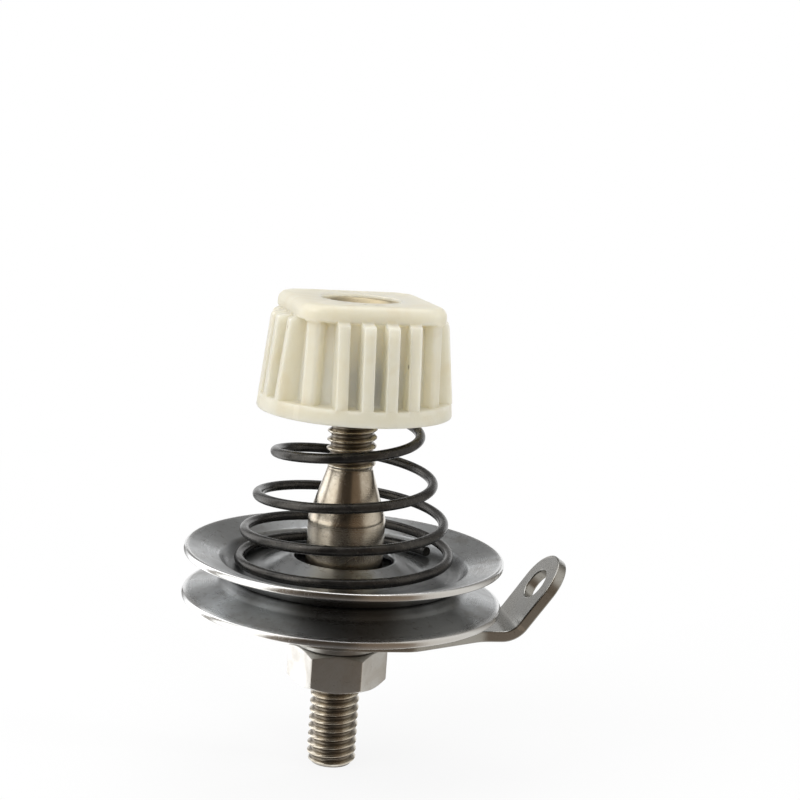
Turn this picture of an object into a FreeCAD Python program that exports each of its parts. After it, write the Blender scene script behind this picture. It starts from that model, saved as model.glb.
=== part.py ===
"""Bobbin winder thread tension: two saucers pinched by a conical spring on a threaded stud.

The origin lies on the stud's axis, at the lower face of the lock nut, where the part seats on
its machine. +Z runs up the stud to the thumb nut, and the thread guide's arm points along +X.
Sizes are in millimetres. Heights named *_rise are measured from the plane where the two
tension discs touch.
"""
import FreeCAD, Part
import math
import os
import re
import Sketcher

V = FreeCAD.Vector

# Driving dimensions: alias, value
SIZES = [
    # stud
    ("thread_radius", 2.0),
    ("thread_half_depth", 0.22),
    ("mounting_thread_length", 6.8),
    ("thread_end_chamfer", 0.35),
    ("running_clearance", 0.03),
    ("collar_step", 1.8),
    ("collar_height", 2.15),
    ("post_radius", 3.1),
    ("taper_start_rise", 4.75),
    ("taper_end_rise", 8.8),
    ("taper_undercut", 0.2),
    ("stud_top_rise", 19.9),
    # lock nut and its washer
    ("nut_across_flats", 7.0),
    ("nut_height", 3.2),
    ("nut_face_margin", 0.2),
    ("nut_rest_angle", -10.3),
    ("washer_thickness", 1.0),
    ("washer_width", 1.4),
    ("washer_clearance", 0.1),
    ("washer_split_angle", 12.0),
    # thread guide
    ("guide_thickness", 0.9),
    ("guide_ring_radius", 5.5),
    ("guide_neck_start", 5.1),
    ("guide_neck_end", 11.2),
    ("guide_neck_round", 3.0),
    ("guide_half_width", 2.7),
    ("guide_rim_clearance", 0.93),
    ("guide_bend_radius", 1.6),
    ("tab_angle", 54.9),
    ("tab_length", 6.87),
    ("tab_tip_half_width", 2.82),
    ("tab_corner_radius", 2.75),
    ("eyelet_radius", 1.33),
    ("eyelet_distance", 4.05),
    # tension discs
    ("disc_radius", 12.8),
    ("disc_thickness", 0.6),
    ("disc_play", 0.9),
    ("boss_foot_radius", 6.6),
    ("boss_rise", 1.02),
    ("groove_radius", 9.4),
    ("groove_step_width", 0.6),
    ("groove_step_rise", 0.7),
    ("rim_rise", 1.58),
    ("seat_clearance", 0.03),
    # conical spring
    ("wire_radius", 0.4),
    ("spring_foot_play", 0.6),
    ("spring_head_play", 0.28),
    ("spring_clearance", 0.05),
    ("spring_active_turns", 4.5),
    ("spring_foot_turns", 0.4),
    ("spring_head_turns", 0.78),
    ("spring_head_angle", -10.3),
    ("spring_crowding", 0.405),
    ("spring_swell_power", 1.3),
    # thumb nut
    ("knob_rise", 13.45),
    ("knob_height", 8.9),
    ("knob_flange_margin", 0.03),
    ("knob_flange_height", 1.24),
    ("knob_taper", 0.94),
    ("knob_rest_angle", 4.7),
    ("core_wall", 0.75),
    ("core_draft", 1.9),
    ("side_corner_radius", 4.2),
    ("cap_overhang", 0.3),
    ("cap_corner_radius", 2.2),
    ("cap_edge_radius", 0.7),
    ("rib_width", 0.94),
    ("rib_spacing", 1.87),
    ("rib_end_depth", 1.35),
    ("rib_end_rise", 0.3),
    ("rib_foot_inset", 0.05),
    ("corner_rib_inset", 0.4),
    ("cavity_mouth_flare", 1.35),
    ("cavity_mouth_height", 1.5),
    ("cavity_depth", 3.15),
    ("insert_thickness", 1.11),
    ("insert_wall", 0.55),
    ("insert_recess", 0.25),
    ("insert_lift", 0.55),
]

# Lengths that follow from the driving dimensions
FORMULAS = {
    "thread_pitch_radius": "thread_radius - thread_half_depth",
    "taper_end_radius": "thread_radius - taper_undercut",
    "bore_radius": "thread_radius + running_clearance",
    "collar_radius": "post_radius + collar_step",
    "washer_foot": "nut_height",
    "washer_bore_radius": "thread_radius + washer_clearance",
    "washer_radius": "washer_bore_radius + washer_width",
    "nut_corner_radius": "nut_across_flats / 2 / cos(30)",
    "nut_face_radius": "nut_across_flats / 2 - nut_face_margin",
    "guide_foot": "washer_foot + washer_thickness",
    "guide_top": "guide_foot + guide_thickness",
    "guide_reach": "disc_radius + guide_rim_clearance",
    "collar_top": "guide_top + collar_height",
    "contact": "collar_top + seat_clearance + disc_thickness + boss_rise",
    "thread_start": "contact + taper_end_rise + taper_undercut",
    "stud_top": "contact + stud_top_rise",
    "disc_hole_radius": "post_radius + disc_play",
    "step_radius": "groove_radius + groove_step_width",
    "spring_foot_radius": "groove_radius - spring_foot_play - wire_radius",
    "insert_radius": "bore_radius + insert_thickness",
    "boss_radius": "insert_radius + insert_wall",
    "spring_head_radius": "boss_radius + spring_head_play + wire_radius",
    "cavity_radius": "spring_head_radius + wire_radius + spring_head_play",
    "cavity_mouth_radius": "cavity_radius + cavity_mouth_flare",
    "core_half_side": "cavity_radius + core_wall",
    "cap_reach": "(core_half_side + cap_overhang - cap_corner_radius) * sqrt(2) + cap_corner_radius",
    "knob_foot": "contact + knob_rise",
    "knob_foot_radius": "cap_reach + knob_flange_margin",
    "roof": "knob_rise + cavity_depth",
    "rib_top": "knob_height - rib_end_depth",
    "rib_head_radius": "knob_foot_radius - knob_taper * rib_top / knob_height",
    "corner_rib_foot": "cap_reach - corner_rib_inset",
    "corner_rib_head": "corner_rib_foot - rib_top * tan(core_draft)",
    "core_head_side": "core_half_side - rib_top * tan(core_draft)",
    "cap_half_side": "core_head_side + cap_overhang",
    "insert_length": "knob_height - insert_recess - insert_lift",
}

doc = FreeCAD.newDocument("thread_tension")
sheet = doc.addObject("Spreadsheet::Sheet", "Sizes")
for row, (alias, number) in enumerate(SIZES, start=1):
    sheet.set(f"A{row}", alias)
    sheet.set(f"B{row}", str(number))
    sheet.setAlias(f"B{row}", alias)
doc.recompute()
ALIASES = {alias for alias, number in SIZES}


def expand(word):
    """A word of a formula, as the document's expression engine reads it."""
    if word in FORMULAS:
        return "(" + bound(FORMULAS[word]) + ")"
    return "Sizes." + word if word in ALIASES else word


def bound(formula):
    """A formula in the words above, written as an expression on the sheet."""
    return re.sub(r"[a-z_]+", lambda match: expand(match.group()), str(formula))


def value(formula):
    """The number that a formula gives."""
    return float(sheet.evalExpression(bound(formula)))


def bind(item, setting, formula):
    item.setExpression(setting, bound(formula))


def new_body(name, lift="0", turn="0"):
    """A body whose own origin is lifted up the stud's axis and turned about it."""
    body = doc.addObject("PartDesign::Body", name)
    body.Label = name
    body.Placement = FreeCAD.Placement(V(0, 0, value(lift)), FreeCAD.Rotation(V(0, 0, 1), value(turn)))
    bind(body, "Placement.Base.z", lift)
    bind(body, "Placement.Rotation.Angle", turn)
    return body


def origin_feature(body, role):
    return next(item for item in body.Origin.OriginFeatures if item.Role == role)


def new_sketch(body, name, plane="XZ_Plane", offset=None, swing=0):
    """A sketch on one of the body's own planes, moved along its normal or swung about its own Y axis."""
    sketch = body.newObject("Sketcher::SketchObject", name)
    sketch.AttachmentSupport = [(origin_feature(body, plane), "")]
    sketch.MapMode = "FlatFace"
    swung = FreeCAD.Rotation(V(0, 1, 0), swing)
    sketch.AttachmentOffset = FreeCAD.Placement(V(0, 0, value(offset or 0)), swung)
    if offset:
        bind(sketch, "AttachmentOffset.Base.z", offset)
    return sketch


def add_outline(sketch, corners):
    """A closed outline of straight edges, each corner tied to its two formulas."""
    first = sketch.GeometryCount
    points = [V(value(x), value(y), 0) for x, y in corners]
    for start, end in zip(points, points[1:] + points[:1]):
        sketch.addGeometry(Part.LineSegment(start, end))
    for number, (x, y) in enumerate(corners):
        edge = first + number
        before = first + (number - 1) % len(corners)
        sketch.addConstraint(Sketcher.Constraint("Coincident", before, 2, edge, 1))
        for kind, formula, place in (("DistanceX", x, points[number].x), ("DistanceY", y, points[number].y)):
            label = f"{kind}_{edge}"
            index = sketch.addConstraint(Sketcher.Constraint(kind, -1, 1, edge, 1, place))
            sketch.renameConstraint(index, label)
            bind(sketch, f"Constraints.{label}", formula)


def add_circle(sketch, radius, x="0", y="0"):
    centre = V(value(x), value(y), 0)
    circle = sketch.addGeometry(Part.Circle(centre, V(0, 0, 1), value(radius)))
    ties = (
        Sketcher.Constraint("Radius", circle, value(radius)),
        Sketcher.Constraint("DistanceX", -1, 1, circle, 3, centre.x),
        Sketcher.Constraint("DistanceY", -1, 1, circle, 3, centre.y),
    )
    for tie, formula, label in zip(ties, (radius, x, y), ("Radius", "CentreX", "CentreY")):
        index = sketch.addConstraint(tie)
        sketch.renameConstraint(index, f"{label}_{circle}")
        bind(sketch, f"Constraints.{label}_{circle}", formula)


def turn_profile(body, name, *outlines, kind="PartDesign::Revolution", angle="360"):
    """Revolves outlines of (radius, height) corners about the body's Z axis."""
    sketch = new_sketch(body, name + "_profile")
    for outline in outlines:
        add_outline(sketch, outline)
    feature = body.newObject(kind, name)
    feature.Profile = sketch
    feature.ReferenceAxis = (sketch, ["V_Axis"])
    bind(feature, "Angle", angle)
    return feature


def pad(body, name, sketch, length, both_ways=False):
    feature = body.newObject("PartDesign::Pad", name)
    feature.Profile = sketch
    feature.Midplane = both_ways
    bind(feature, "Length", length)
    return feature


def through_hole(body, name, sketch):
    """Cuts a sketch through the whole body, on both sides of its plane."""
    feature = body.newObject("PartDesign::Pocket", name)
    feature.Profile = sketch
    feature.Type = "ThroughAll"
    feature.Midplane = True
    return feature


def round_edges(body, name, base, radius, chosen):
    """Fillets the edges of the feature before it that chosen picks."""
    doc.recompute()
    names = [f"Edge{n}" for n, edge in enumerate(base.Shape.Edges, start=1) if chosen(edge)]
    feature = body.newObject("PartDesign::Fillet", name)
    feature.Base = (base, names)
    bind(feature, "Radius", radius)
    return feature


def make_stud():
    """One turned piece: mounting thread, collar, post, taper and thumb nut thread."""
    body = new_body("tension_stud")
    turn_profile(body, "stud_turning", [
        ("0", "-mounting_thread_length"),
        ("thread_radius - thread_end_chamfer", "-mounting_thread_length"),
        ("thread_radius", "thread_end_chamfer - mounting_thread_length"),
        ("thread_radius", "0"),
        ("thread_pitch_radius", "0"),
        ("thread_pitch_radius", "nut_height"),
        ("thread_radius", "nut_height"),
        ("thread_radius", "guide_top"),
        ("collar_radius", "guide_top"),
        ("collar_radius", "collar_top"),
        ("post_radius", "collar_top"),
        ("post_radius", "contact + taper_start_rise"),
        ("taper_end_radius", "contact + taper_end_rise"),
        ("thread_radius", "thread_start"),
        ("thread_radius", "stud_top - thread_end_chamfer"),
        ("thread_radius - thread_end_chamfer", "stud_top"),
        ("0", "stud_top"),
    ])
    return body


def make_nut():
    """A hexagon nut, chamfered on both faces."""
    body = new_body("lock_nut", turn="nut_rest_angle")
    hexagon = new_sketch(body, "hexagon", "XY_Plane")
    add_outline(hexagon, [
        (f"nut_corner_radius * cos({angle})", f"nut_corner_radius * sin({angle})")
        for angle in range(0, 360, 60)
    ])
    pad(body, "nut_blank", hexagon, "nut_height")
    bore = new_sketch(body, "nut_bore_circle", "XY_Plane")
    add_circle(bore, "bore_radius")
    through_hole(body, "nut_bore", bore)
    outside = "2 * nut_corner_radius"
    drop = "(2 * nut_corner_radius - nut_face_radius) * tan(30)"
    turn_profile(
        body, "nut_chamfers",
        [("nut_face_radius", "0"), (outside, "0"), (outside, drop)],
        [("nut_face_radius", "nut_height"), (outside, "nut_height"), (outside, f"nut_height - {drop}")],
        kind="PartDesign::Groove",
    )
    return body


def make_washer():
    """A spring washer pressed flat, with its split facing away from the guide's arm."""
    body = new_body("lock_washer", "washer_foot", "180 + washer_split_angle / 2")
    turn_profile(body, "washer_ring", [
        ("washer_bore_radius", "0"),
        ("washer_radius", "0"),
        ("washer_radius", "washer_thickness"),
        ("washer_bore_radius", "washer_thickness"),
    ], angle="360 - washer_split_angle")
    return body


def make_guide():
    """A plate with a round end on the stud, a neck, and a tab bent up and pierced by the eyelet."""
    body = new_body("thread_guide", "guide_foot")
    side = new_sketch(body, "plate_side")
    bend = "guide_reach + guide_thickness * tan(tab_angle / 2)"
    tip_reach = "guide_reach + tab_length * cos(tab_angle)"
    tip_rise = "guide_thickness + tab_length * sin(tab_angle)"
    outer_reach = f"{tip_reach} + guide_thickness * sin(tab_angle)"
    add_outline(side, [
        ("0", "0"),
        (bend, "0"),
        (outer_reach, f"{tip_rise} - guide_thickness * cos(tab_angle)"),
        (tip_reach, tip_rise),
        ("guide_reach", "guide_thickness"),
        ("0", "guide_thickness"),
    ])
    plate = pad(body, "plate", side, "2 * guide_ring_radius", both_ways=True)

    def all_at(edge, *tests):
        """True when both ends of the edge give each formula's value on the named axis."""
        return all(
            abs(abs(getattr(vertex.Point, axis)) - value(formula)) < 1e-3
            for vertex in edge.Vertexes for axis, formula in tests
        )

    inside = round_edges(
        body, "bend_inside", plate, "guide_bend_radius",
        lambda edge: all_at(edge, ("x", "guide_reach"), ("z", "guide_thickness")),
    )
    round_edges(
        body, "bend_outside", inside, "guide_bend_radius + guide_thickness",
        lambda edge: all_at(edge, ("x", bend), ("z", "0")),
    )
    past = "1"
    flank = [
        ("guide_neck_start", "guide_ring_radius"),
        ("guide_neck_end", "guide_half_width"),
        ("guide_reach", "guide_half_width"),
        (outer_reach, "tab_tip_half_width"),
        (f"{outer_reach} + {past}", "tab_tip_half_width"),
        (f"{outer_reach} + {past}", f"guide_ring_radius + {past}"),
        ("guide_neck_start", f"guide_ring_radius + {past}"),
    ]
    waste = new_sketch(body, "flank_waste", "XY_Plane")
    add_outline(waste, flank)
    add_outline(waste, [(reach, f"-({across})") for reach, across in flank])
    trimmed = through_hole(body, "flanks", waste)
    necked = round_edges(
        body, "neck_rounds", trimmed, "guide_neck_round",
        lambda edge: all_at(edge, ("x", "guide_neck_start"), ("y", "guide_ring_radius"))
        or all_at(edge, ("x", "guide_neck_end"), ("y", "guide_half_width")),
    )
    tilt = math.radians(value("tab_angle"))
    tip = value(tip_reach) * math.cos(tilt) + value(tip_rise) * math.sin(tilt)
    round_edges(
        body, "tab_corners", necked, "tab_corner_radius",
        lambda edge: all(
            vertex.Point.x * math.cos(tilt) + vertex.Point.z * math.sin(tilt) > tip - 1e-3
            for vertex in edge.Vertexes
        ) and abs(edge.Length - value("guide_thickness")) < 0.1 * value("guide_thickness"),
    )
    ring = new_sketch(body, "ring_circle", "XY_Plane")
    add_circle(ring, "guide_ring_radius")
    pad(body, "ring", ring, "guide_thickness")
    hole = new_sketch(body, "stud_hole_circle", "XY_Plane")
    add_circle(hole, "bore_radius")
    through_hole(body, "stud_hole", hole)
    eyelet = new_sketch(body, "eyelet_circle", "YZ_Plane")
    own = origin_feature(body, "YZ_Plane").Placement.Rotation
    lean = FreeCAD.Rotation(V(0, 1, 0), 90 - value("tab_angle"))
    seat = V(value("guide_reach"), 0, value("guide_thickness"))
    eyelet.AttachmentOffset = FreeCAD.Placement(own.inverted().multVec(seat), own.inverted() * lean * own)
    add_circle(eyelet, "eyelet_radius", "0", "eyelet_distance")
    punch = body.newObject("PartDesign::Pocket", "eyelet")
    punch.Profile = eyelet
    punch.Midplane = True
    bind(punch, "Length", "4 * guide_thickness")
    return body


def make_disc(name, side):
    """A pressed saucer: raised boss, flat contact ring with the spring's groove, dished rim.

    side is 1 for the upper disc and -1 for the lower, which lies the other way up.
    """
    body = new_body(name, "contact")
    face = [
        ("disc_hole_radius", "boss_rise"),
        ("boss_foot_radius", "0"),
        ("groove_radius", "0"),
        ("step_radius", "groove_step_rise"),
        ("disc_radius", "rim_rise"),
    ]
    back = [(radius, f"{rise} + disc_thickness") for radius, rise in reversed(face)]
    turn_profile(body, name + "_pressing", [(radius, f"{side} * ({rise})") for radius, rise in face + back])
    return body


def spring_point(turn):
    """The wire's centre after so many turns down from the spring's head."""
    share = min(max(turn / value("spring_active_turns"), 0), 1)
    foot = value("contact + disc_thickness + spring_clearance + wire_radius")
    head = value("contact + roof - spring_clearance - wire_radius")
    height = head - (head - foot) * (share + value("spring_crowding") * (share - share ** 2))
    widening = math.sin(math.pi / 2 * share) ** value("spring_swell_power")
    radius = value("spring_head_radius") + value("spring_foot_radius - spring_head_radius") * widening
    angle = math.radians(value("spring_head_angle") - 360 * turn)
    return V(radius * math.cos(angle), radius * math.sin(angle), height)


def make_spring():
    """A right-hand conical spring, coiled closer at its foot, with both end turns lying flat."""
    steps_per_turn = 16
    first = -value("spring_head_turns")
    last = value("spring_active_turns + spring_foot_turns")
    count = round((last - first) * steps_per_turn)
    path = Part.BSplineCurve()
    path.interpolate([spring_point(first + (last - first) * n / count) for n in range(count + 1)])
    start, along = path.value(path.FirstParameter), path.tangent(path.FirstParameter)[0]
    sweep = Part.BRepOffsetAPI.MakePipeShell(Part.Wire(path.toShape()))
    sweep.setBiNormalMode(V(0, 0, 1))
    sweep.add(Part.Wire(Part.makeCircle(value("wire_radius"), start, along)))
    sweep.build()
    sweep.makeSolid()
    spring = doc.addObject("Part::Feature", "tension_spring")
    spring.Label = "tension_spring"
    spring.Shape = sweep.shape()
    return spring


def drafted_square(body, name, side, length, offset=None):
    """A square block about the body's axis that narrows upwards by the moulding draft."""
    square = new_sketch(body, name + "_square", "XY_Plane", offset)
    add_outline(square, [(side, side), ("-" + side, side), ("-" + side, "-" + side), (side, "-" + side)])
    block = pad(body, name, square, length)
    bind(block, "TaperAngle", "-core_draft")
    return block


def make_knob():
    """The moulded thumb nut: a soft-cornered core under a squared cap, with grip ribs all round."""
    body = new_body("thumb_nut_shell", "knob_foot", "knob_rest_angle")
    height, rib_top = value("knob_height"), value("rib_top")
    core = drafted_square(body, "core", "core_half_side", "knob_height")
    round_edges(
        body, "core_corners", core, "side_corner_radius",
        lambda edge: abs(edge.Vertexes[0].Point.z - edge.Vertexes[-1].Point.z) > height / 2,
    )
    cap = drafted_square(body, "cap", "cap_half_side", "rib_end_depth", "rib_top")
    corners = round_edges(
        body, "cap_corners", cap, "cap_corner_radius",
        lambda edge: {vertex.Point.z > height - 1e-3 for vertex in edge.Vertexes} == {True, False}
        and min(vertex.Point.z for vertex in edge.Vertexes) > rib_top - 1e-3,
    )
    round_edges(
        body, "cap_top_edge", corners, "cap_edge_radius",
        lambda edge: all(vertex.Point.z > height - 1e-3 for vertex in edge.Vertexes),
    )
    ribs = []
    for number, place in enumerate(("-1.5", "-0.5", "0.5", "1.5")):
        across = f"({place} * rib_spacing)"
        rib_side = new_sketch(body, f"rib_side_{number}", offset=f"-{across}")
        add_outline(rib_side, [
            ("cavity_radius", "0"),
            (f"sqrt(knob_foot_radius ^ 2 - {across} ^ 2) - rib_foot_inset", "0"),
            (f"sqrt(rib_head_radius ^ 2 - {across} ^ 2)", "rib_top"),
            ("core_head_side", "rib_top + rib_end_rise"),
            ("cavity_radius", "rib_top + rib_end_rise"),
        ])
        ribs.append(pad(body, f"rib_{number}", rib_side, "rib_width", both_ways=True))
    corner_rib_side = new_sketch(body, "corner_rib_side", swing=45)
    add_outline(corner_rib_side, [
        ("cavity_radius", "0"),
        ("corner_rib_foot", "0"),
        ("corner_rib_head", "rib_top"),
        ("cavity_radius", "rib_top"),
    ])
    ribs.append(pad(body, "corner_rib", corner_rib_side, "rib_width", both_ways=True))
    pattern = body.newObject("PartDesign::PolarPattern", "ribs_on_each_side")
    pattern.Originals = ribs
    pattern.Axis = (origin_feature(body, "Z_Axis"), [""])
    pattern.Angle = 360
    pattern.Occurrences = 4
    body.Tip = pattern
    flange = new_sketch(body, "flange_circle", "XY_Plane")
    add_circle(flange, "knob_foot_radius")
    pad(body, "flange", flange, "knob_flange_height")
    turn_profile(body, "spring_cavity", [
        ("boss_radius", "0"),
        ("cavity_mouth_radius", "0"),
        ("cavity_radius", "cavity_mouth_height"),
        ("cavity_radius", "cavity_depth"),
        ("boss_radius", "cavity_depth"),
    ], kind="PartDesign::Groove")
    turn_profile(body, "boss_end", [
        ("0", "0"),
        ("boss_radius", "0"),
        ("boss_radius", "insert_lift"),
        ("0", "insert_lift"),
    ], kind="PartDesign::Groove")
    seat = new_sketch(body, "insert_seat_circle", "XY_Plane")
    add_circle(seat, "insert_radius")
    through_hole(body, "insert_seat", seat)
    return body


def make_insert():
    """The threaded bush that the thumb nut is moulded round."""
    body = new_body("thumb_nut_insert", "knob_foot + insert_lift")
    turn_profile(body, "insert_turning", [
        ("bore_radius", "0"),
        ("insert_radius", "0"),
        ("insert_radius", "insert_length"),
        ("bore_radius", "insert_length"),
    ])
    return body


def check(parts):
    """Stops before anything is written if a feature failed or a shape isn't one sound solid."""
    failed = [item.Name for item in doc.Objects if {"Invalid", "Error"} & set(item.State)]
    if failed:
        raise RuntimeError(f"these features failed: {failed}")
    for part in parts:
        if part.Shape.isNull() or not part.Shape.isValid() or len(part.Shape.Solids) != 1:
            raise RuntimeError(f"{part.Label} isn't one sound solid")


def main():
    parts = [
        make_stud(),
        make_nut(),
        make_washer(),
        make_guide(),
        make_disc("lower_tension_disc", -1),
        make_disc("upper_tension_disc", 1),
        make_spring(),
        make_knob(),
        make_insert(),
    ]
    doc.recompute()
    check(parts)
    os.makedirs("parts", exist_ok=True)
    for part in parts:
        part.Shape.exportStep(f"parts/{part.Label}.step")
        box = part.Shape.BoundBox
        print(
            f"{part.Label}: {part.Shape.Volume:.1f} mm3, x {box.XMin:.2f} to {box.XMax:.2f}, "
            f"y {box.YMin:.2f} to {box.YMax:.2f}, z {box.ZMin:.2f} to {box.ZMax:.2f}"
        )


main()
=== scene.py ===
"""Looks for the bobbin winder's thread tension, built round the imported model.

Sizes in the makers below are millimetres and become metres in finished(). Heights are measured
from the lock nut's lower face, and every finished mesh keeps its place in its own vertices.
"""
import math

import bmesh
import bpy
from mathutils import Matrix, Vector


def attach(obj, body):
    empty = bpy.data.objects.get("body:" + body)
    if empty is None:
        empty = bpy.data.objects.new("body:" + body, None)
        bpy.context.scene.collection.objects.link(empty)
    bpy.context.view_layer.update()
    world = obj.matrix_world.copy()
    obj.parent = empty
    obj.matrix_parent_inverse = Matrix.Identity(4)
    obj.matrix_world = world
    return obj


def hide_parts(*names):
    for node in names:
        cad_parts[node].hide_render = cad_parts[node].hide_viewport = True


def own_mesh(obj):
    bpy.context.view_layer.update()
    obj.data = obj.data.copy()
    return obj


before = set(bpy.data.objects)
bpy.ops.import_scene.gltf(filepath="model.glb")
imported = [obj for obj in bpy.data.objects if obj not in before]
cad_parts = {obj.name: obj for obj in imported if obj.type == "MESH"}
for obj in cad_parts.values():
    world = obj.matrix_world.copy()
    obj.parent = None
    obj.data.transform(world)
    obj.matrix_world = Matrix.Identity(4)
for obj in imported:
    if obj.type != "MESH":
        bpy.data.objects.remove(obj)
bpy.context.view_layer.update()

MM = 0.001
TURN = 2 * math.pi

# Heights up the stud
STUD_FOOT, NUT_TOP, PLATE_FOOT, PLATE_TOP, COLLAR_TOP = -6.8, 3.2, 4.2, 5.1, 7.25
CONTACT, TAPER_START, TAPER_END, STUD_TOP = 8.9, 13.65, 17.7, 28.8
KNOB_FOOT, KNOB_HEIGHT, INSERT_FOOT, INSERT_TOP = 22.35, 8.9, 22.9, 31.0

# The M4 thread: its pitch, and the radii of its crests and roots outside and in a bore. It is
# cut only where a surface lies between the last two radii.
PITCH, CREST, ROOT, BORE_CREST, BORE_ROOT = 0.7, 1.985, 1.66, 1.73, 2.06
STUD_THREAD, BORE_THREAD = (CREST, ROOT, 1.4, 2.0), (BORE_CREST, BORE_ROOT, 1.5, 2.1)
THREAD_SIZES = (
    "Pitch", "Crest radius", "Root radius", "Nearest radius", "Farthest radius",
    "From height", "To height", "Run out")

# The guide plate: where its tab bends up, how tightly and how far
BEND_AT, INNER_BEND, TAB_TILT = 12.9, 1.6, math.radians(54.9)
BEND_LENGTH = INNER_BEND * TAB_TILT

# Bearings about the stud, from the guide's arm
NUT_BEARING = SPRING_BEARING = math.radians(-10.3)
KNOB_BEARING = math.radians(4.7)
VIEWER_BEARING = math.radians(-100.3)


# ---- node trees

def wire(tree, kind, inputs=(), output=0, **settings):
    """Adds a node, feeds it numbers or other nodes' outputs, and returns one of its outputs."""
    node = tree.nodes.new(kind)
    node.location = (190 * len(tree.nodes), 0)
    for name, setting in settings.items():
        setattr(node, name, setting)
    pairs = inputs.items() if isinstance(inputs, dict) else enumerate(inputs)
    for key, source in pairs:
        if isinstance(source, bpy.types.NodeSocket):
            tree.links.new(source, node.inputs[key])
        else:
            node.inputs[key].default_value = source
    return node.outputs[output]


def calc(tree, operation, *values, clamp=False):
    """A sum of numbers or other nodes' outputs."""
    return wire(tree, "ShaderNodeMath", values, operation=operation, use_clamp=clamp)


def product(tree, first, *others):
    for other in others:
        first = calc(tree, "MULTIPLY", first, other)
    return first


def wavered(tree, level, pattern, amount):
    """The level, moved up and down by a pattern that lies round 0.5."""
    return calc(tree, "MULTIPLY_ADD", calc(tree, "SUBTRACT", pattern, 0.5), amount, level)


def spread(tree, value, low, high, to_low=0.0, to_high=1.0, smooth=False):
    """Maps low..high to to_low..to_high, held at both ends."""
    return wire(
        tree, "ShaderNodeMapRange", [value, low, high, to_low, to_high],
        interpolation_type="SMOOTHSTEP" if smooth else "LINEAR")


def own_place(tree):
    """A point's place in the model's frame, in metres."""
    return wire(tree, "ShaderNodeTexCoord", output="Object")


def how_far(tree, place):
    """The distance from the frame's origin, in metres."""
    return wire(tree, "ShaderNodeVectorMath", [place], output="Value", operation="LENGTH")


def noise(tree, place, scale, detail, **more):
    return wire(tree, "ShaderNodeTexNoise", {
        "Vector": place, "Scale": scale, "Detail": detail, **more})


def split(tree, place):
    parts = tree.nodes.new("ShaderNodeSeparateXYZ")
    tree.links.new(place, parts.inputs[0])
    return parts.outputs


def from_axis(tree, x, y):
    """The distance from the stud's axis."""
    return calc(tree, "SQRT", calc(tree, "ADD", product(tree, x, x), product(tree, y, y)))


def radius_and_height(tree):
    """The distance from the stud's axis and the height, in metres."""
    x, y, z = split(tree, own_place(tree))
    return from_axis(tree, x, y), z


SHAPE, FLOAT, COUNT = "NodeSocketGeometry", "NodeSocketFloat", "NodeSocketInt"
FINISH = "NodeSocketMaterial"


def new_tree(name, kind, inputs, outputs):
    """A node group and what it is given. The names of its sockets are listed by kind."""
    tree = bpy.data.node_groups.new(name, kind)
    for way, sockets in (("INPUT", inputs), ("OUTPUT", outputs)):
        for socket, labels in sockets.items():
            for label in labels:
                tree.interface.new_socket(label, in_out=way, socket_type=socket)
    return tree, tree.nodes.new("NodeGroupInput").outputs


def close_tree(tree, *results):
    sink = tree.nodes.new("NodeGroupOutput")
    sink.location = (190 * len(tree.nodes), 0)
    for slot, result in zip(sink.inputs, results):
        tree.links.new(result, slot)


def built_in(tree, kind):
    """The node of this kind that a new world or material comes with."""
    return next(node for node in tree.nodes if node.type == kind)


def dressed(tree, shape, given):
    """The shape as plain mesh in its finish."""
    real = wire(tree, "GeometryNodeRealizeInstances", [shape])
    return wire(tree, "GeometryNodeSetMaterial", {"Geometry": real, "Material": given["Finish"]})


def thread_cutter():
    """Cuts a right-hand thread into the rows of a turned mesh, outside or in a bore."""
    tree, given = new_tree("Thread cutter", "GeometryNodeTree", {
        SHAPE: ["Turned part"], FINISH: ["Finish"], FLOAT: THREAD_SIZES,
    }, {SHAPE: ["Threaded part"]})
    place = wire(tree, "GeometryNodeInputPosition")
    x, y, z = split(tree, place)
    radius = from_axis(tree, x, y)
    turned = calc(tree, "DIVIDE", calc(tree, "ARCTAN2", y, x), TURN)
    depth = calc(tree, "SUBTRACT", given["Crest radius"], given["Root radius"])
    is_bore = calc(tree, "LESS_THAN", depth, 0.0)
    rise = calc(tree, "MULTIPLY_ADD", is_bore, 0.5, calc(tree, "DIVIDE", z, given["Pitch"]))
    phase = calc(tree, "FRACT", calc(tree, "SUBTRACT", rise, turned))
    from_root = calc(tree, "ABSOLUTE", calc(tree, "MULTIPLY_ADD", phase, 2.0, -1.0))
    flank = spread(tree, from_root, 0.22, 0.86)
    cut = calc(tree, "MULTIPLY_ADD", depth, flank, given["Root radius"])
    outside = calc(tree, "MINIMUM", radius, cut)
    inside = calc(tree, "MAXIMUM", radius, cut)
    to_bore = calc(tree, "SUBTRACT", inside, outside)
    threaded = calc(tree, "MULTIPLY_ADD", to_bore, is_bore, outside)
    start = calc(tree, "SUBTRACT", z, given["From height"])
    end = calc(tree, "SUBTRACT", given["To height"], z)
    near = calc(tree, "DIVIDE", calc(tree, "MINIMUM", start, end), given["Run out"], clamp=True)
    shift = calc(tree, "SUBTRACT", threaded, radius)
    final = calc(tree, "MULTIPLY_ADD", shift, near, radius)
    scale = calc(tree, "DIVIDE", final, radius)
    moved = wire(tree, "ShaderNodeCombineXYZ", [
        product(tree, x, scale), product(tree, y, scale), z])
    in_band = product(
        tree, calc(tree, "GREATER_THAN", radius, given["Nearest radius"]),
        calc(tree, "LESS_THAN", radius, given["Farthest radius"]))
    shaped = wire(tree, "GeometryNodeSetPosition", [given["Turned part"], in_band, moved])
    close_tree(tree, dressed(tree, shaped, given))


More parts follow.
